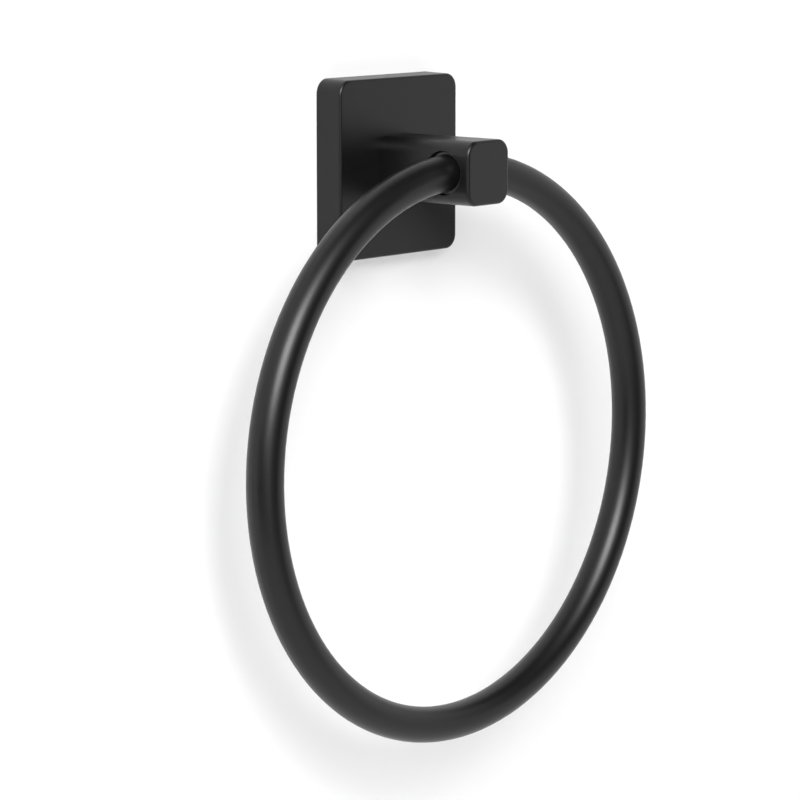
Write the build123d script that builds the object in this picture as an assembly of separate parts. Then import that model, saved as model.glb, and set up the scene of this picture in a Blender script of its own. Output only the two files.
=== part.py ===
from build123d import *
import math
import os

# Towel ring: a square cover plate on a wall bracket, a square post, and a ring that swings in the post.
# The ring's bar carries a straight bush, which turns in the post's cross bore.
# Wall plane at Y = 0, front towards -Y, Z up, origin on the wall behind the middle of the plate.

# Cover plate, its side walls drawn in towards the front
PLATE_SIDE = 50.0
PLATE_DEPTH = 8.5
PLATE_CORNER = 4.2
PLATE_DRAFT = 1.6
PLATE_EDGE = 0.7
PLATE_WALL = 3.0

# Post
POST_SIDE = 17.7
POST_REACH = 40.35
POST_CORNER = 4.0
POST_EDGE = 0.9
KEY_SIDE = 8.0
KEY_CORNER = 1.5
KEY_SHORT = 0.2

# Ring of round bar, hanging a little to the left, low and turned
RING_INSIDE = 144.0
RING_BAR = 10.0
RING_END_GAP = 0.5
RING_SIDE_SHIFT = 2.0
RING_SAG = 0.17
RING_TURN = 1.1

# Bush on the bar, and the bore it turns in
BUSH_WALL = 0.35
BUSH_RECESS = 1.4
SWING_GAP = 0.25
MOUTH_CHAMFER = 0.15

# Screw that draws the post against the plate
POST_SCREW_THREAD = 5.0
POST_SCREW_LENGTH = 14.0
POST_SCREW_FLANGE = 12.0
POST_SCREW_FLANGE_DEPTH = 0.9
POST_SCREW_DOME = 9.4
POST_SCREW_HEAD = 2.8
POST_SCREW_HEX = 3.0
POST_SCREW_HEX_DEPTH = 1.7
POST_HOLE_SPARE = 2.0

# Screw in the underside that wedges the plate on the bracket
SET_SCREW_THREAD = 4.0
SET_SCREW_LENGTH = 8.0
SET_SCREW_FROM_WALL = 3.2
SET_SCREW_HEX = 2.0
SET_SCREW_HEX_DEPTH = 2.4

# Dovetail wall bracket
BRACKET_FRONT_GAP = 0.4
BRACKET_SIDE_GAP = 3.0
BRACKET_LIFT_GAP = 4.2
BRACKET_LAND = 0.8
WALL_HOLE = 4.6
WALL_HOLE_HEAD = 8.4
WALL_HOLE_SPACING = 27.0
WINDOW_GAP = 1.0

# Hook under the plate's top wall
HOOK_WIDTH = 24.0
HOOK_FROM_WALL = 1.5
HOOK_FRONT_GAP = 0.4

# Fits
KEY_CLEARANCE = 0.1
BUSH_CLEARANCE = 0.08
THREAD_CLEARANCE = 0.05

# Derived sizes
half_side = PLATE_SIDE / 2
inside_side = PLATE_SIDE - 2 * PLATE_WALL
inside_half = inside_side / 2
inside_depth = PLATE_DEPTH - PLATE_WALL
inside_corner = max(PLATE_CORNER - PLATE_WALL, 0.5)
post_half = POST_SIDE / 2
bore_from_wall = POST_REACH - post_half

# The bar curves down towards both ends of the bush, most at the end that the ring is shifted away from.
# But for the sag, its highest and lowest places in the bush are equally far from the bore's axis.
ring_radius = (RING_INSIDE + RING_BAR) / 2
bar_radius = RING_BAR / 2
bush_half = post_half - BUSH_RECESS
far_end = bush_half + RING_SIDE_SHIFT
bar_drop = RING_INSIDE / 2 - math.sqrt((RING_INSIDE / 2) ** 2 - far_end**2)
ring_centre_z = bar_drop / 2 - RING_SAG - ring_radius
turn_offset = bush_half * math.tan(math.radians(RING_TURN))
bar_offset = math.hypot(bar_drop / 2 + RING_SAG, turn_offset)
bush_radius = bar_radius + bar_offset + BUSH_WALL
bore_radius = bush_radius + SWING_GAP

# The bracket is taller at its front than at the wall, with its top and bottom undercut at 45 degrees.
bracket_depth = inside_depth - BRACKET_FRONT_GAP
bracket_half = inside_half - BRACKET_LIFT_GAP
bracket_width = inside_side - 2 * BRACKET_SIDE_GAP
undercut = bracket_depth - BRACKET_LAND
bracket_back_half = bracket_half - undercut
screw_point_z = -(bracket_back_half + SET_SCREW_FROM_WALL)
screw_foot_z = screw_point_z - SET_SCREW_LENGTH


def upright(depth):
    """Upright plane parallel to the wall, at a distance in front of it."""
    return Plane(origin=(0, -depth, 0), x_dir=(1, 0, 0), z_dir=(0, -1, 0))


def side_bar(points, width):
    """Bar with a profile in the YZ plane, centred on X."""
    profile = make_face(Polyline(*[(0, y, z) for y, z in points], close=True))
    return extrude(profile, amount=width / 2, dir=(1, 0, 0), both=True)


def front_edges(body, depth):
    """Edges of a body that lie in the upright plane at a distance in front of the wall."""
    return body.edges().filter_by(lambda edge: abs(edge.center().Y + depth) < 1e-4)


def make_cover_plate():
    """Hollow square cover with a hook for the bracket's top edge and a threaded hole in the underside."""
    outline = upright(0) * RectangleRounded(PLATE_SIDE, PLATE_SIDE, PLATE_CORNER)
    body = extrude(outline, PLATE_DEPTH, taper=PLATE_DRAFT)
    body = fillet(front_edges(body, PLATE_DEPTH), PLATE_EDGE)
    body -= extrude(upright(0) * RectangleRounded(inside_side, inside_side, inside_corner), inside_depth)

    hook_front = undercut - HOOK_FRONT_GAP
    hook_top = inside_half + PLATE_WALL / 2
    hook = [
        (-HOOK_FROM_WALL, hook_top),
        (-HOOK_FROM_WALL, bracket_back_half + HOOK_FROM_WALL),
        (-hook_front, bracket_back_half + hook_front),
        (-hook_front, hook_top),
    ]
    body += side_bar(hook, HOOK_WIDTH)

    key_hole = KEY_SIDE + 2 * KEY_CLEARANCE
    body -= extrude(upright(inside_depth) * RectangleRounded(key_hole, key_hole, KEY_CORNER), PLATE_WALL)

    thread = Cylinder(SET_SCREW_THREAD / 2 + THREAD_CLEARANCE, 2 * PLATE_WALL)
    body -= Pos(0, -SET_SCREW_FROM_WALL, -half_side + PLATE_WALL / 2) * thread
    return body


def make_post():
    """Square post with a key on its root, a threaded hole for its screw and a cross bore."""
    shank = POST_REACH - PLATE_DEPTH
    body = extrude(upright(PLATE_DEPTH) * RectangleRounded(POST_SIDE, POST_SIDE, POST_CORNER), shank)
    body = fillet(front_edges(body, POST_REACH), POST_EDGE)

    key_length = PLATE_WALL - KEY_SHORT
    key_start = PLATE_DEPTH - key_length
    body += extrude(upright(key_start) * RectangleRounded(KEY_SIDE, KEY_SIDE, KEY_CORNER), key_length)

    hole_depth = inside_depth + POST_SCREW_LENGTH + POST_HOLE_SPARE - key_start
    thread_radius = POST_SCREW_THREAD / 2 + THREAD_CLEARANCE
    body -= extrude(upright(key_start) * Circle(thread_radius), hole_depth)

    across = Rot(0, 90, 0)
    bore = across * Cylinder(bore_radius, 2 * POST_SIDE)
    mouth = Cone(bore_radius, bore_radius + 2 * MOUTH_CHAMFER, 2 * MOUTH_CHAMFER)
    bore += Pos(post_half, 0, 0) * across * mouth
    bore += Pos(-post_half, 0, 0) * Rot(0, -90, 0) * mouth
    body -= Pos(0, -bore_from_wall, 0) * bore
    return body


def hung(solid):
    """Solid drawn round the ring's own centre, moved to where the ring hangs in the post."""
    upright_ring = Pos(-RING_SIDE_SHIFT, 0, ring_centre_z) * Rot(90, 0, 0) * solid
    return Pos(0, -bore_from_wall, 0) * Rot(0, 0, -RING_TURN) * upright_ring


def make_ring():
    """Round bar bent to a ring, with its two ends close together inside the bush."""
    gap_angle = math.degrees(RING_END_GAP / ring_radius)
    bar = Torus(ring_radius, bar_radius, major_angle=360 - gap_angle)
    return hung(Rot(0, 0, 90 + gap_angle / 2) * bar)


def make_ring_bush():
    """Bush, straight outside and curved along the bar inside, on which the bent bar turns in the bore."""
    bush = Pos(0, -bore_from_wall, 0) * Rot(0, 90, 0) * Cylinder(bush_radius, 2 * bush_half)
    return bush - hung(Torus(ring_radius, bar_radius + BUSH_CLEARANCE))


def hex_prism(across_flats, depth):
    """Hexagonal prism from the XY plane upwards."""
    return extrude(RegularPolygon(across_flats / math.sqrt(3), 6), depth)


def make_post_screw():
    """Flanged dome-head screw with its bearing face on the inside of the plate."""
    flange_radius = POST_SCREW_FLANGE / 2
    dome_radius = POST_SCREW_DOME / 2
    dome_height = POST_SCREW_HEAD - POST_SCREW_FLANGE_DEPTH
    sphere = (dome_radius**2 + dome_height**2) / (2 * dome_height)
    dome = Pos(0, 0, POST_SCREW_HEAD - sphere) * Sphere(sphere)
    keep = extrude(Circle(dome_radius + 1), POST_SCREW_HEAD)
    head = extrude(Circle(flange_radius), POST_SCREW_FLANGE_DEPTH) + (dome & keep)
    socket = hex_prism(POST_SCREW_HEX, POST_SCREW_HEX_DEPTH)
    head -= Pos(0, 0, POST_SCREW_HEAD - POST_SCREW_HEX_DEPTH) * socket
    thread_end = -POST_SCREW_LENGTH
    shank = Pos(0, 0, thread_end) * extrude(Circle(POST_SCREW_THREAD / 2), POST_SCREW_LENGTH)
    shank = chamfer(shank.edges().group_by(Axis.Z)[0], POST_SCREW_THREAD / 10)
    return Pos(0, -inside_depth, 0) * Rot(-90, 0, 0) * (head + shank)


def make_set_screw():
    """Headless cone-point screw whose point lies along the bracket's lower undercut."""
    radius = SET_SCREW_THREAD / 2
    body = extrude(Circle(radius), SET_SCREW_LENGTH - radius)
    body += Pos(0, 0, SET_SCREW_LENGTH - radius / 2) * Cone(radius, 0, radius)
    body -= hex_prism(SET_SCREW_HEX, SET_SCREW_HEX_DEPTH)
    return Pos(0, -SET_SCREW_FROM_WALL, screw_foot_z) * body


def make_wall_bracket():
    """Dovetail bar with two countersunk wall holes and a window that clears the post's screw head."""
    profile = [
        (0, -bracket_back_half),
        (0, bracket_back_half),
        (-undercut, bracket_half),
        (-bracket_depth, bracket_half),
        (-bracket_depth, -bracket_half),
        (-undercut, -bracket_half),
    ]
    body = side_bar(profile, bracket_width)

    window_width = POST_SCREW_FLANGE + 2 * WINDOW_GAP
    window = SlotCenterToCenter(BRACKET_LIFT_GAP, window_width, rotation=90)
    body -= extrude(upright(0) * Pos(0, BRACKET_LIFT_GAP / 2) * window, bracket_depth)

    sink = (WALL_HOLE_HEAD - WALL_HOLE) / 2
    for x in (-WALL_HOLE_SPACING / 2, WALL_HOLE_SPACING / 2):
        at_hole = Pos(x, 0)
        body -= extrude(upright(0) * at_hole * Circle(WALL_HOLE / 2), bracket_depth)
        countersink = Cone(WALL_HOLE / 2, WALL_HOLE_HEAD / 2, sink)
        body -= Pos(x, -bracket_depth + sink / 2, 0) * Rot(90, 0, 0) * countersink
    return body


NODES = {
    "cover_plate": make_cover_plate,
    "post": make_post,
    "ring": make_ring,
    "ring_bush": make_ring_bush,
    "post_screw": make_post_screw,
    "set_screw": make_set_screw,
    "wall_bracket": make_wall_bracket,
}

os.makedirs("parts", exist_ok=True)
for name, make in NODES.items():
    export_step(make(), f"parts/{name}.step")
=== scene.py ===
"""Towel ring on a white wall: finishes, screw threads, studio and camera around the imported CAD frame."""

import logging
import math
from abc import ABC, abstractmethod
from dataclasses import dataclass, field
from enum import Enum

import bpy
import numpy as np
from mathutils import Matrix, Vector


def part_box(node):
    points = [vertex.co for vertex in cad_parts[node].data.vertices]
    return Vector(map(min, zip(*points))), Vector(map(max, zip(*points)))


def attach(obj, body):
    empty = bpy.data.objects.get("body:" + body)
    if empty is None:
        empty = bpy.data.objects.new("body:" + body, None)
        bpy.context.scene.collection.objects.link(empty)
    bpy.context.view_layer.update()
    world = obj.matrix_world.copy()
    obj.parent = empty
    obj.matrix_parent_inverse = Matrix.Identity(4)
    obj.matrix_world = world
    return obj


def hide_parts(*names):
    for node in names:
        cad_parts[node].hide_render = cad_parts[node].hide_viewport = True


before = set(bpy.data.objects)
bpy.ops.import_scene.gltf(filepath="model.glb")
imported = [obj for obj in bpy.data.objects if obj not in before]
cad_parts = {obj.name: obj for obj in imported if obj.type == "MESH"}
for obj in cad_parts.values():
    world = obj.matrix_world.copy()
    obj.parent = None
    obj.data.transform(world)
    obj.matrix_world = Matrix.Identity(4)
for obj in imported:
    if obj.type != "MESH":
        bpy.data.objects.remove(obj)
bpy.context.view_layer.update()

LOG = logging.getLogger("towel_ring")
MM = 0.001
# Corners of a square of half side 1, in order round it, and its one face
SQUARE = np.array([(-1.0, -1.0), (1.0, -1.0), (1.0, 1.0), (-1.0, 1.0)])
SQUARE_FACE = np.array([(0, 1, 2, 3)])


class Grain(Enum):
    """How a finish is marked: sprayed and speckled, or drawn in one direction."""

    SPECKLE = "speckle"
    DRAWN = "drawn"


@dataclass(frozen=True)
class Finish:
    """One finish, with colour and roughness that vary a little over the surface.

    Attributes:
        name: material name.
        dark: linear colour in the darker patches.
        light: linear colour in the lighter patches.
        metallic: 0 for a coat or a plastic, 1 for bare metal.
        roughness: lowest and highest roughness.
        specular: specular level.
        grain: speckled or drawn marks.
        grain_size: size of one mark in metres.
        bump: height of the marks in metres.
        grain_detail: finer layers in the marks.
        drawn_scale: scale of drawn marks along X, small where they are long.
        patch_scale: colour patches per metre.
        patch_detail: finer layers in the patches.
    """

    name: str
    dark: tuple[float, float, float]
    light: tuple[float, float, float]
    metallic: float
    roughness: tuple[float, float]
    specular: float
    grain: Grain
    grain_size: float
    bump: float
    grain_detail: float = 2.0
    drawn_scale: float = 0.04
    patch_scale: float = 60.0
    patch_detail: float = 4.0

    def material(self) -> bpy.types.Material:
        """Builds the node material.

        Returns:
            The material, with a patch noise for colour, and a finer one for roughness and bump.
        """
        made = bpy.data.materials.new(self.name)
        made.use_nodes = True
        nodes, links = made.node_tree.nodes, made.node_tree.links
        shader = nodes["Principled BSDF"]
        shader.inputs["Metallic"].default_value = self.metallic
        shader.inputs["Specular IOR Level"].default_value = self.specular
        place = nodes.new("ShaderNodeTexCoord")
        stretch = nodes.new("ShaderNodeMapping")
        along = self.drawn_scale if self.grain is Grain.DRAWN else 1.0
        stretch.inputs["Scale"].default_value = (along, 1.0, 1.0)
        links.new(place.outputs["Object"], stretch.inputs["Vector"])

        patches = nodes.new("ShaderNodeTexNoise")
        patches.inputs["Scale"].default_value = self.patch_scale
        patches.inputs["Detail"].default_value = self.patch_detail
        links.new(place.outputs["Object"], patches.inputs["Vector"])
        marks = nodes.new("ShaderNodeTexNoise")
        marks.inputs["Scale"].default_value = 1.0 / self.grain_size
        marks.inputs["Detail"].default_value = self.grain_detail
        links.new(stretch.outputs["Vector"], marks.inputs["Vector"])

        colour = nodes.new("ShaderNodeMix")
        colour.data_type = "RGBA"
        colour.inputs["A"].default_value = (*self.dark, 1.0)
        colour.inputs["B"].default_value = (*self.light, 1.0)
        links.new(patches.outputs["Fac"], colour.inputs["Factor"])
        links.new(colour.outputs["Result"], shader.inputs["Base Color"])

        rough = nodes.new("ShaderNodeMapRange")
        rough.inputs["To Min"].default_value, rough.inputs["To Max"].default_value = self.roughness
        links.new(marks.outputs["Fac"], rough.inputs["Value"])
        links.new(rough.outputs["Result"], shader.inputs["Roughness"])

        bump = nodes.new("ShaderNodeBump")
        bump.inputs["Distance"].default_value = self.bump
        bump.inputs["Strength"].default_value = 1.0
        links.new(marks.outputs["Fac"], bump.inputs["Height"])
        links.new(bump.outputs["Normal"], shader.inputs["Normal"])
        return made


POWDER_COAT = Finish(
    name="black_powder_coat",
    dark=(0.003, 0.003, 0.003),
    light=(0.004, 0.004, 0.004),
    metallic=0.0,
    roughness=(0.34, 0.40),
    specular=0.385,
    grain=Grain.SPECKLE,
    grain_size=0.35 * MM,
    bump=0.006 * MM,
)
BLACK_NYLON = Finish(
    name="black_nylon",
    dark=(0.040, 0.040, 0.040),
    light=(0.048, 0.048, 0.048),
    metallic=0.0,
    roughness=(0.46, 0.56),
    specular=0.45,
    grain=Grain.SPECKLE,
    grain_size=0.15 * MM,
    bump=0.003 * MM,
)
DRAWN_ALUMINIUM = Finish(
    name="drawn_aluminium",
    dark=(0.50, 0.50, 0.51),
    light=(0.62, 0.62, 0.63),
    metallic=1.0,
    roughness=(0.30, 0.42),
    specular=0.5,
    grain=Grain.DRAWN,
    grain_size=0.20 * MM,
    bump=0.004 * MM,
)
PLATED_STEEL = Finish(
    name="plated_steel",
    dark=(0.46, 0.47, 0.48),
    light=(0.58, 0.58, 0.59),
    metallic=1.0,
    roughness=(0.24, 0.36),
    specular=0.5,
    grain=Grain.SPECKLE,
    grain_size=0.12 * MM,
    bump=0.002 * MM,
)


def dress(nodes: tuple[str, ...], finish: Finish) -> None:
    """Gives CAD nodes one finish.

    Args:
        nodes: node names.
        finish: the finish that they share.
    """
    material = finish.material()
    for name in nodes:
        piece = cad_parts[name]
        piece.data.materials.clear()
        piece.data.materials.append(material)
        LOG.info("%s: %s", name, finish.name)


@dataclass
class RingAndHolder:
    """The pieces in view: coated cover plate, post and ring, and the ring's plastic bush."""

    coat: Finish = POWDER_COAT
    coated: tuple[str, ...] = ("cover_plate", "post", "ring")
    plastic: Finish = BLACK_NYLON
    plastic_nodes: tuple[str, ...] = ("ring_bush",)

    def build(self) -> None:
        """Gives the metal its powder coat and the bush its plastic."""
        dress(self.coated, self.coat)
        dress(self.plastic_nodes, self.plastic)


@dataclass(frozen=True)
class Thread:
    """A screw thread with flat crests and roots.

    Attributes:
        major: crest radius in metres.
        minor: root radius in metres.
        pitch: rise per turn in metres.
        flat: how far the wave is stretched past crest and root, as a share of the thread's depth.
    """

    major: float
    minor: float
    pitch: float
    flat: float = 0.3

    def radius(self, height: np.ndarray, turn: np.ndarray) -> np.ndarray:
        """Works out the helical surface.

        The phase is height over pitch less turn over a full circle. The radius follows a triangle wave of
        the phase between root and crest, stretched at both ends and clipped so that both come out flat.

        Args:
            height: places along the axis in metres.
            turn: angles round the axis in radians.

        Returns:
            The radius in metres, in the arrays' common shape.
        """
        phase = height / self.pitch - turn / (2.0 * math.pi)
        wave = np.abs(2.0 * (phase - np.floor(phase)) - 1.0)
        share = np.clip((1.0 + 2.0 * self.flat) * wave - self.flat, 0.0, 1.0)
        return self.minor + (self.major - self.minor) * share


@dataclass
class SocketScrew(ABC):
    """A screw with a hexagon socket, drawn upright with its socket end up, which stands for a plain CAD node.

    Attributes:
        node: the CAD node that it stands for.
        thread: its thread.
        length: length of the threaded part in metres.
        flats: socket width across flats in metres.
        socket: socket depth in metres.
        steps: points round the axis, a multiple of 6.
        rows_per_pitch: rings along one rise of the thread.
        sharp: angle in degrees past which an edge stays sharp.
        finish: its finish.
    """

    node: str
    thread: Thread
    length: float
    flats: float
    socket: float
    steps: int = 96
    rows_per_pitch: int = 12
    sharp: float = 32.0
    finish: Finish = PLATED_STEEL

    @abstractmethod
    def outside(self) -> tuple[np.ndarray, np.ndarray]:
        """Rings from the socket's rim down to the last one, as radius and height in metres."""

    @abstractmethod
    def rim(self, radius: np.ndarray) -> np.ndarray:
        """Height of the end face that the socket opens in, at each radius."""

    @abstractmethod
    def tip(self) -> float:
        """Height of the lowest point of the axis."""

    @abstractmethod
    def placed(self, points: np.ndarray) -> np.ndarray:
        """Upright points turned to the screw's place in the object."""

    def turns(self) -> np.ndarray:
        """Angles round the axis, as one row."""
        return np.linspace(0.0, 2.0 * math.pi, self.steps, endpoint=False)[None, :]

    def hexagon(self) -> np.ndarray:
        """Works out the socket's outline.

        The radius is half the width across flats over the cosine of the angle from the nearest flat's middle.

        Returns:
            The radius in metres at each angle, as one row.
        """
        sixth = math.pi / 3.0
        from_flat = np.mod(self.turns() + sixth / 2.0, sixth) - sixth / 2.0
        return 0.5 * self.flats / np.cos(from_flat)

    def threaded(self) -> tuple[np.ndarray, np.ndarray]:
        """Works out the threaded part, whose two ends narrow at 45 degrees down to the root.

        Returns:
            Radius and height of its rings, one row each, from height 0 down.
        """
        rows = int(self.length / self.thread.pitch * self.rows_per_pitch)
        height = np.linspace(0.0, -self.length, rows)[:, None] + 0.0 * self.turns()
        radius = self.thread.radius(height, self.turns())
        from_end = np.minimum(-height, height + self.length)
        return np.minimum(radius, self.thread.minor + from_end), height

    def build(self) -> None:
        """Builds the closed surface: a pole in the socket, all rings, and a pole at the tip.

        A ring's point at angle t is (radius cos t, radius sin t, height). Faces join each ring to the next.
        """
        hexagon = self.hexagon()
        rim = self.rim(hexagon)
        floor = np.full_like(hexagon, float(rim.max()) - self.socket)
        radius, height = self.outside()
        radius = np.concatenate([hexagon, hexagon, radius])
        height = np.concatenate([floor, rim, height])
        turns = self.turns()
        rings = np.stack([radius * np.cos(turns), radius * np.sin(turns), height], axis=-1)
        poles = np.array([(0.0, 0.0, float(floor[0, 0])), (0.0, 0.0, self.tip())])
        points = self.placed(np.concatenate([rings.reshape(-1, 3), poles]))

        j = np.arange(self.steps)
        after = (j + 1) % self.steps
        first = (np.arange(len(radius) - 1) * self.steps)[:, None]
        corners = [first + j, first + j + self.steps, first + after + self.steps, first + after]
        quads = np.stack(corners, axis=-1).reshape(-1, 4)
        last = (len(radius) - 1) * self.steps
        top, bottom = len(points) - 2, len(points) - 1
        upper = np.stack([np.full_like(j, top), j, after], axis=-1)
        lower = np.stack([last + j, np.full_like(j, bottom), last + after], axis=-1)

        mesh = bpy.data.meshes.new(f"{self.node}_threaded")
        mesh.from_pydata(points.tolist(), [], quads.tolist() + upper.tolist() + lower.tolist())
        mesh.polygons.foreach_set("use_smooth", np.ones(len(mesh.polygons), bool))
        mesh.set_sharp_from_angle(angle=math.radians(self.sharp))
        mesh.materials.append(self.finish.material())
        piece = bpy.data.objects.new(f"{self.node}_threaded", mesh)
        bpy.context.scene.collection.objects.link(piece)
        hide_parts(self.node)
        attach(piece, "holder")
        LOG.info("%s: %d points, %s", piece.name, len(points), self.finish.name)


@dataclass
class FlangedScrew(SocketScrew):
    """Dome-head screw with a flange, its axis along +Y and its bearing face on the inside of the plate.

    Attributes:
        flange: flange radius in metres.
        flange_depth: flange thickness in metres.
        dome: radius of the dome's foot in metres.
        head: height of head and flange in metres.
        soft: size of the flange's softened edges in metres.
        dome_rows: rings over the dome.
        dome_start: the first ring's share of the way from the socket's rim to the dome's foot.
    """

    flange: float = 6.0 * MM
    flange_depth: float = 0.9 * MM
    dome: float = 4.7 * MM
    head: float = 2.8 * MM
    soft: float = 0.12 * MM
    dome_rows: int = 12
    dome_start: float = 0.06

    def rim(self, radius: np.ndarray) -> np.ndarray:
        """Works out the dome, a sphere through the dome's foot and top.

        Args:
            radius: distances from the axis in metres.

        Returns:
            The dome's height in metres at each distance.
        """
        rise = self.head - self.flange_depth
        sphere = (self.dome**2 + rise**2) / (2.0 * rise)
        return self.head - sphere + np.sqrt(sphere**2 - radius**2)

    def outside(self) -> tuple[np.ndarray, np.ndarray]:
        """Works out the rings over the dome, round the flange's softened edges and down the thread.

        Returns:
            Radius and height in metres, one row per ring.
        """
        flat = np.ones_like(self.turns())
        share = np.linspace(self.dome_start, 1.0, self.dome_rows)[:, None]
        over_dome = self.hexagon() * (1.0 - share) + self.dome * share
        edge = np.array(
            [
                (self.flange - self.soft, self.flange_depth),
                (self.flange, self.flange_depth - self.soft),
                (self.flange, self.soft),
                (self.flange - self.soft, 0.0),
                (self.thread.minor, 0.0),
            ]
        )
        shank_radius, shank_height = self.threaded()
        radius = np.concatenate([over_dome, edge[:, :1] * flat, shank_radius[1:]])
        height = np.concatenate([self.rim(over_dome), edge[:, 1:] * flat, shank_height[1:]])
        return radius, height

    def tip(self) -> float:
        """Height of the flat end."""
        return -self.length

    def placed(self, points: np.ndarray) -> np.ndarray:
        """Lays the upright screw along +Y, with its thread's end where the CAD node's is.

        Args:
            points: upright points in metres, one row each.

        Returns:
            The points in the object's frame.
        """
        low, high = (np.array(corner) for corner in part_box(self.node))
        middle = 0.5 * (low + high)
        bearing = low[1] + self.length
        x, y, z = points.T
        return np.stack([middle[0] + x, bearing + z, middle[2] - y], axis=-1)


@dataclass
class PointedScrew(SocketScrew):
    """Headless screw with a cone point, standing on its socket end.

    Attributes:
        whole: length with the point in metres.
        soft: width of the flat rim round the socket in metres.
        point_rows: rings along the point, with those at its two ends.
    """

    whole: float = 8.0 * MM
    soft: float = 0.1 * MM
    point_rows: int = 9

    def rim(self, radius: np.ndarray) -> np.ndarray:
        """Height of the flat foot."""
        return np.zeros_like(radius)

    def outside(self) -> tuple[np.ndarray, np.ndarray]:
        """Works out the rings across the foot, up the thread and along the 45 degree point.

        Returns:
            Radius and height in metres, one row per ring.
        """
        flat = np.ones_like(self.turns())
        face = self.hexagon() + self.soft
        thread_radius, thread_height = self.threaded()
        thread_radius = np.minimum(thread_radius, self.whole + thread_height)
        along = np.linspace(self.length, self.whole, self.point_rows)[1:-1, None]
        radius = np.concatenate([face, thread_radius, (self.whole - along) * flat])
        height = np.concatenate([0.0 * face, thread_height, -along * flat])
        return radius, height

    def tip(self) -> float:
        """Height of the point."""
        return -self.whole

    def placed(self, points: np.ndarray) -> np.ndarray:
        """Turns the screw point up, with its foot where the CAD node's is.

        Args:
            points: upright points in metres, one row each.

        Returns:
            The points in the object's frame.
        """
        low, high = (np.array(corner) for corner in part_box(self.node))
        middle = 0.5 * (low + high)
        x, y, z = points.T
        return np.stack([middle[0] + x, middle[1] - y, low[2] - z], axis=-1)


@dataclass
class Fixings:
    """The hidden fixings: bracket and screws."""

    bracket: Finish = DRAWN_ALUMINIUM
    post_screw: SocketScrew = field(
        default_factory=lambda: FlangedScrew(
            node="post_screw",
            thread=Thread(major=2.5 * MM, minor=2.05 * MM, pitch=0.8 * MM),
            length=14.0 * MM,
            flats=3.0 * MM,
            socket=1.7 * MM,
        )
    )
    set_screw: SocketScrew = field(
        default_factory=lambda: PointedScrew(
            node="set_screw",
            thread=Thread(major=2.0 * MM, minor=1.6 * MM, pitch=0.7 * MM),
            length=6.4 * MM,
            flats=2.0 * MM,
            socket=2.4 * MM,
        )
    )

    def build(self) -> None:
        """Dresses the bracket and builds the threaded screws."""
        dress(("wall_bracket",), self.bracket)
        self.post_screw.build()
        self.set_screw.build()


@dataclass(frozen=True)
class Card:
    """A flat upright card that only reflections see.

    Attributes:
        name: object name.
        middle: its middle in metres.
        turn: degrees of the direction that it is square to, 0 in front and negative to the left.
        size: width and height in metres.
        glow: brightness, where 1 is white.
    """

    name: str
    middle: tuple[float, float, float]
    turn: float
    size: tuple[float, float]
    glow: float


@dataclass(frozen=True)
class Lamp:
    """An oblong soft lamp aimed at the object.

    Attributes:
        name: lamp name.
        turn: degrees round the object, 0 in front and negative to the left.
        rise: degrees above the horizon.
        away: distance in metres.
        size: width and height in metres.
        power: watts.
    """

    name: str
    turn: float
    rise: float
    away: float
    size: tuple[float, float]
    power: float


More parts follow.
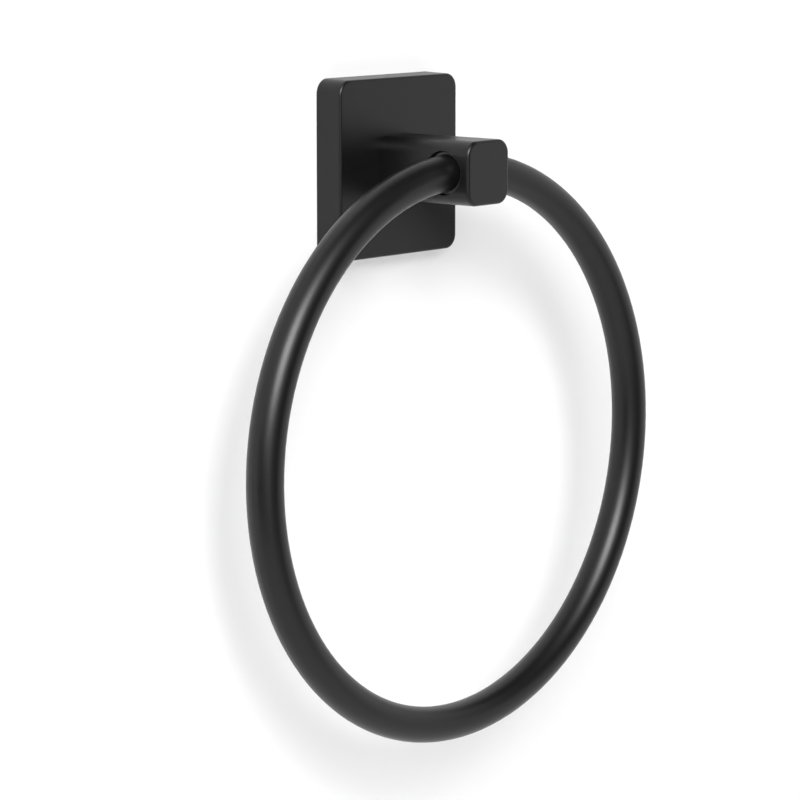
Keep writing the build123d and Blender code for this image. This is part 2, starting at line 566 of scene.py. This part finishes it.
@dataclass
class Studio:
    """White wall, pale floor, one soft lamp, cards for the reflections and the photograph's camera.

    Attributes:
        eye: camera place in metres.
        yaw: camera heading from +Y towards +X, in degrees.
        pitch: how far the camera looks down, in degrees.
        lens: focal length in millimetres.
        sensor: sensor width in millimetres.
        near: shortest distance that the camera sees, in metres.
        wall_half: half side of the wall and the floor in metres.
        wall_hole: side of the hole behind the plate in metres.
        wall_gap: how far the wall's face lies behind the plate's back in metres.
        wall_colour: paint of the wall.
        wall_glow: the wall's share of its own white near the object, from 0 to 1.
        wall_white: distances from wall_middle in metres between which that share rises to 1.
        wall_middle: place on the wall behind the ring's middle in metres.
        floor_drop: how far the floor lies below the plate's middle in metres.
        floor_colour: paint of the floor.
        floor_glow: the floor's share of its own white.
        card_radius: distance of the dark cards in metres.
        card_steps: points along each side of a dark card.
        cards: each dark card's left and right turn and low and high tilt, in degrees.
        card_colour: paint of the dark cards.
        card_roughness: roughness of the dark cards.
        card_specular: specular level of the dark cards.
        pale_cards: a small white card low on the camera's side, and a grey one on the wall's upper right.
        world_light: strength of the surroundings as light.
        world_seen: strength of the surroundings where the camera or a reflection sees them.
        key: the lamp in front, above and to the left.
        aim: the place that the lamp points at in metres.
    """

    eye: Vector = field(default_factory=lambda: Vector((-705.482, -610.955, 81.345)) * MM)
    yaw: float = 49.5091
    pitch: float = 9.0111
    lens: float = 150.4567
    sensor: float = 36.0
    near: float = 0.01
    wall_half: float = 3.0
    wall_hole: float = 0.044
    wall_gap: float = 0.0002
    wall_colour: tuple[float, float, float] = (0.86, 0.86, 0.86)
    wall_glow: float = 0.40
    wall_white: tuple[float, float] = (0.2, 0.8)
    wall_middle: tuple[float, float, float] = (0.0, 0.0, -77.0 * MM)
    floor_drop: float = 0.9
    floor_colour: tuple[float, float, float] = (0.85, 0.85, 0.85)
    floor_glow: float = 0.8
    card_radius: float = 1.6
    card_steps: int = 25
    cards: tuple[tuple[float, float, float, float], ...] = (
        (-100.0, 34.0, -24.0, 8.0),
        (-2.0, 49.0, 8.0, 58.0),
        (49.0, 96.0, 36.0, 58.0),
        (-110.0, 120.0, 58.0, 90.0),
    )
    card_colour: tuple[float, float, float] = (0.02, 0.02, 0.02)
    card_roughness: float = 0.9
    card_specular: float = 0.1
    pale_cards: tuple[Card, ...] = (
        Card("white_card", middle=(-0.2146, -0.316, -0.127), turn=-34.2, size=(0.15, 0.11), glow=0.9),
        Card("grey_card", middle=(0.30, -0.002, 0.335), turn=0.0, size=(0.60, 0.53), glow=0.4),
    )
    world_light: float = 0.13
    world_seen: float = 1.0
    key: Lamp = Lamp("key", turn=-38.0, rise=28.5, away=2.6, size=(1.45, 1.2), power=98.0)
    aim: Vector = field(default_factory=lambda: Vector((0.0, -20.0, -60.0)) * MM)

    def build(self) -> None:
        """Builds the stage, the light and the camera."""
        self.world()
        self.wall()
        self.floor()
        self.dark_cards()
        for card in self.pale_cards:
            self.pale_card(card)
        self.light(self.key)
        self.camera()

    def world(self) -> None:
        """Even pale surroundings, white where the camera or a reflection sees them."""
        world = bpy.data.worlds.new("studio")
        bpy.context.scene.world = world
        world.use_nodes = True
        nodes, links = world.node_tree.nodes, world.node_tree.links
        back = nodes["Background"]
        back.inputs["Color"].default_value = (1.0, 1.0, 1.0, 1.0)
        level = nodes.new("ShaderNodeMath")
        level.operation = "ADD"
        level.inputs[1].default_value = self.world_light
        links.new(self.seen_share(nodes, links, self.world_seen - self.world_light), level.inputs[0])
        links.new(level.outputs["Value"], back.inputs["Strength"])

    def wall(self) -> None:
        """White wall with a square hole hidden behind the plate, clear when looked at from behind."""
        wall = self.square_frame("wall", 0.5 * self.wall_hole, self.wall_half, self.wall_gap)
        made = bpy.data.materials.new("white_wall")
        made.use_nodes = True
        nodes, links = made.node_tree.nodes, made.node_tree.links
        nodes.clear()
        place = nodes.new("ShaderNodeTexCoord")
        away = nodes.new("ShaderNodeVectorMath")
        away.operation = "DISTANCE"
        away.inputs[1].default_value = self.wall_middle
        links.new(place.outputs["Object"], away.inputs[0])
        share = nodes.new("ShaderNodeMapRange")
        share.inputs["From Min"].default_value, share.inputs["From Max"].default_value = self.wall_white
        share.inputs["To Min"].default_value = self.wall_glow
        links.new(away.outputs["Value"], share.inputs["Value"])
        white = self.white(nodes, links, self.wall_colour, share.outputs["Result"])
        side = nodes.new("ShaderNodeNewGeometry")
        clear = nodes.new("ShaderNodeBsdfTransparent")
        mix = nodes.new("ShaderNodeMixShader")
        links.new(side.outputs["Backfacing"], mix.inputs["Fac"])
        links.new(white, mix.inputs[1])
        links.new(clear.outputs["BSDF"], mix.inputs[2])
        out = nodes.new("ShaderNodeOutputMaterial")
        links.new(mix.outputs["Shader"], out.inputs["Surface"])
        wall.data.materials.append(made)

    def floor(self) -> None:
        """Pale floor well below the ring."""
        points = np.insert(SQUARE * self.wall_half, 2, -self.floor_drop, axis=1)
        floor = self.staged("floor", points, SQUARE_FACE)
        made = bpy.data.materials.new("pale_floor")
        made.use_nodes = True
        nodes, links = made.node_tree.nodes, made.node_tree.links
        nodes.clear()
        out = nodes.new("ShaderNodeOutputMaterial")
        links.new(self.white(nodes, links, self.floor_colour, self.floor_glow), out.inputs["Surface"])
        floor.data.materials.append(made)

    def dark_cards(self) -> None:
        """Dark cards that keep the front, the upper right and the ceiling of the room out of the reflections.

        Each is a patch of a sphere, seen by reflections only. At turn t and tilt e its point is the radius
        times (sin t cos e, -cos t cos e, sin e).
        """
        made = bpy.data.materials.new("dark_card")
        made.use_nodes = True
        shader = made.node_tree.nodes["Principled BSDF"]
        shader.inputs["Base Color"].default_value = (*self.card_colour, 1.0)
        shader.inputs["Roughness"].default_value = self.card_roughness
        shader.inputs["Specular IOR Level"].default_value = self.card_specular
        steps = self.card_steps
        for number, (left, right, low, high) in enumerate(self.cards, 1):
            turn = np.radians(np.linspace(left, right, steps))
            tilt = np.radians(np.linspace(low, high, steps))
            t, e = np.meshgrid(turn, tilt, indexing="ij")
            shape = np.stack([np.sin(t) * np.cos(e), -np.cos(t) * np.cos(e), np.sin(e)], axis=-1)
            i, j = np.meshgrid(np.arange(steps - 1), np.arange(steps - 1), indexing="ij")
            k = (i * steps + j).reshape(-1)
            faces = np.stack([k, k + 1, k + steps + 1, k + steps], axis=1)
            card = self.staged(f"dark_card_{number}", self.card_radius * shape.reshape(-1, 3), faces)
            self.reflected_only(card)
            card.data.materials.append(made)

    def pale_card(self, card: Card) -> None:
        """Places a pale card that shows in the coat's sheen and neither lights nor shades anything.

        Its corners lie half its width and half its height to each side of its middle, level and upright.

        Args:
            card: the card.
        """
        turn = math.radians(card.turn)
        level = np.array([math.cos(turn), math.sin(turn), 0.0]) * 0.5 * card.size[0]
        upright = np.array([0.0, 0.0, 0.5 * card.size[1]])
        points = np.array(card.middle) + SQUARE[:, :1] * level + SQUARE[:, 1:] * upright
        made = self.staged(card.name, points, SQUARE_FACE)
        self.reflected_only(made)
        material = bpy.data.materials.new(card.name)
        material.use_nodes = True
        nodes, links = material.node_tree.nodes, material.node_tree.links
        nodes.clear()
        glow = nodes.new("ShaderNodeEmission")
        glow.inputs["Strength"].default_value = card.glow
        out = nodes.new("ShaderNodeOutputMaterial")
        links.new(glow.outputs["Emission"], out.inputs["Surface"])
        made.data.materials.append(material)

    def light(self, lamp: Lamp) -> None:
        """Places a lamp and points it at the object.

        Args:
            lamp: the lamp.
        """
        turn, rise = math.radians(lamp.turn), math.radians(lamp.rise)
        back = Vector((math.sin(turn) * math.cos(rise), -math.cos(turn) * math.cos(rise), math.sin(rise)))
        data = bpy.data.lights.new(lamp.name, "AREA")
        data.shape = "RECTANGLE"
        data.size, data.size_y = lamp.size
        data.energy = lamp.power
        made = bpy.data.objects.new(lamp.name, data)
        made.location = self.aim + back * lamp.away
        made.rotation_mode = "QUATERNION"
        made.rotation_quaternion = (-back).to_track_quat("-Z", "Y")
        bpy.context.scene.collection.objects.link(made)

    def camera(self) -> None:
        """Camera at the photograph's place and lens, with no shift."""
        data = bpy.data.cameras.new("camera")
        data.lens = self.lens
        data.sensor_width = self.sensor
        data.clip_start = self.near
        made = bpy.data.objects.new("camera", data)
        yaw, pitch = math.radians(self.yaw), math.radians(self.pitch)
        ahead = Vector((math.sin(yaw) * math.cos(pitch), math.cos(yaw) * math.cos(pitch), -math.sin(pitch)))
        made.rotation_mode = "QUATERNION"
        made.rotation_quaternion = ahead.to_track_quat("-Z", "Y")
        made.location = self.eye
        bpy.context.scene.collection.objects.link(made)
        bpy.context.scene.camera = made

    def white(
        self,
        nodes: bpy.types.Nodes,
        links: bpy.types.NodeLinks,
        colour: tuple[float, float, float],
        share: float | bpy.types.NodeSocket,
    ) -> bpy.types.NodeSocket:
        """Adds a pale paint that is partly white by itself where the camera or a reflection sees it.

        Args:
            nodes: the node collection to add to.
            links: the link collection to add to.
            colour: the paint.
            share: share of its own white, from 0 to 1, or the socket that carries it.

        Returns:
            The socket that carries the shader.
        """
        paint = nodes.new("ShaderNodeBsdfDiffuse")
        paint.inputs["Color"].default_value = (*colour, 1.0)
        glow = nodes.new("ShaderNodeEmission")
        glow.inputs["Strength"].default_value = 1.0
        mix = nodes.new("ShaderNodeMixShader")
        links.new(self.seen_share(nodes, links, share), mix.inputs["Fac"])
        links.new(paint.outputs["BSDF"], mix.inputs[1])
        links.new(glow.outputs["Emission"], mix.inputs[2])
        return mix.outputs["Shader"]

    def seen_share(
        self, nodes: bpy.types.Nodes, links: bpy.types.NodeLinks, share: float | bpy.types.NodeSocket
    ) -> bpy.types.NodeSocket:
        """Adds nodes that give a share to rays from the camera, reflections and glass, and 0 to the rest.

        Args:
            nodes: the node collection to add to.
            links: the link collection to add to.
            share: value for the rays that see the surface, or the socket that carries it.

        Returns:
            The socket that carries the value.
        """
        path = nodes.new("ShaderNodeLightPath")
        total = path.outputs["Is Camera Ray"]
        for name in ("Is Glossy Ray", "Is Transmission Ray"):
            either = nodes.new("ShaderNodeMath")
            either.operation = "MAXIMUM"
            links.new(total, either.inputs[0])
            links.new(path.outputs[name], either.inputs[1])
            total = either.outputs["Value"]
        scale = nodes.new("ShaderNodeMath")
        scale.operation = "MULTIPLY"
        links.new(total, scale.inputs[0])
        if isinstance(share, float):
            scale.inputs[1].default_value = share
        else:
            links.new(share, scale.inputs[1])
        return scale.outputs["Value"]

    def square_frame(self, name: str, inner: float, outer: float, y: float) -> bpy.types.Object:
        """Makes an upright frame that faces -Y, four strips between an inner and an outer square.

        Args:
            name: object name.
            inner: half side of the hole in metres.
            outer: half side of the frame in metres.
            y: its place along Y in metres.

        Returns:
            The linked object, marked as stage.
        """
        flat = np.concatenate([SQUARE * inner, SQUARE * outer])
        points = np.insert(flat, 1, y, axis=1)
        count = len(SQUARE)
        k = np.arange(count)
        after = (k + 1) % count
        strips = np.stack([k, k + count, after + count, after], axis=1)
        return self.staged(name, points, strips)

    def staged(self, name: str, points: np.ndarray, faces: np.ndarray) -> bpy.types.Object:
        """Links a mesh that belongs to the stage and not to the object.

        Args:
            name: object name.
            points: corners in metres, one row each.
            faces: corner numbers, one row per face.

        Returns:
            The linked object.
        """
        mesh = bpy.data.meshes.new(name)
        mesh.from_pydata(points.tolist(), [], faces.tolist())
        made = bpy.data.objects.new(name, mesh)
        bpy.context.scene.collection.objects.link(made)
        return made

    def reflected_only(self, card: bpy.types.Object) -> None:
        """Hides a card from the camera and from diffuse light, and lets it cast no shadow.

        Args:
            card: the card's object.
        """
        card.visible_camera = False
        card.visible_diffuse = False
        card.visible_shadow = False


def main() -> None:
    """Builds the finishes and the studio in order."""
    logging.basicConfig(level=logging.INFO)
    bpy.context.scene.view_settings.view_transform = "Standard"
    RingAndHolder().build()
    Fixings().build()
    Studio().build()


if __name__ == "__main__":
    main()
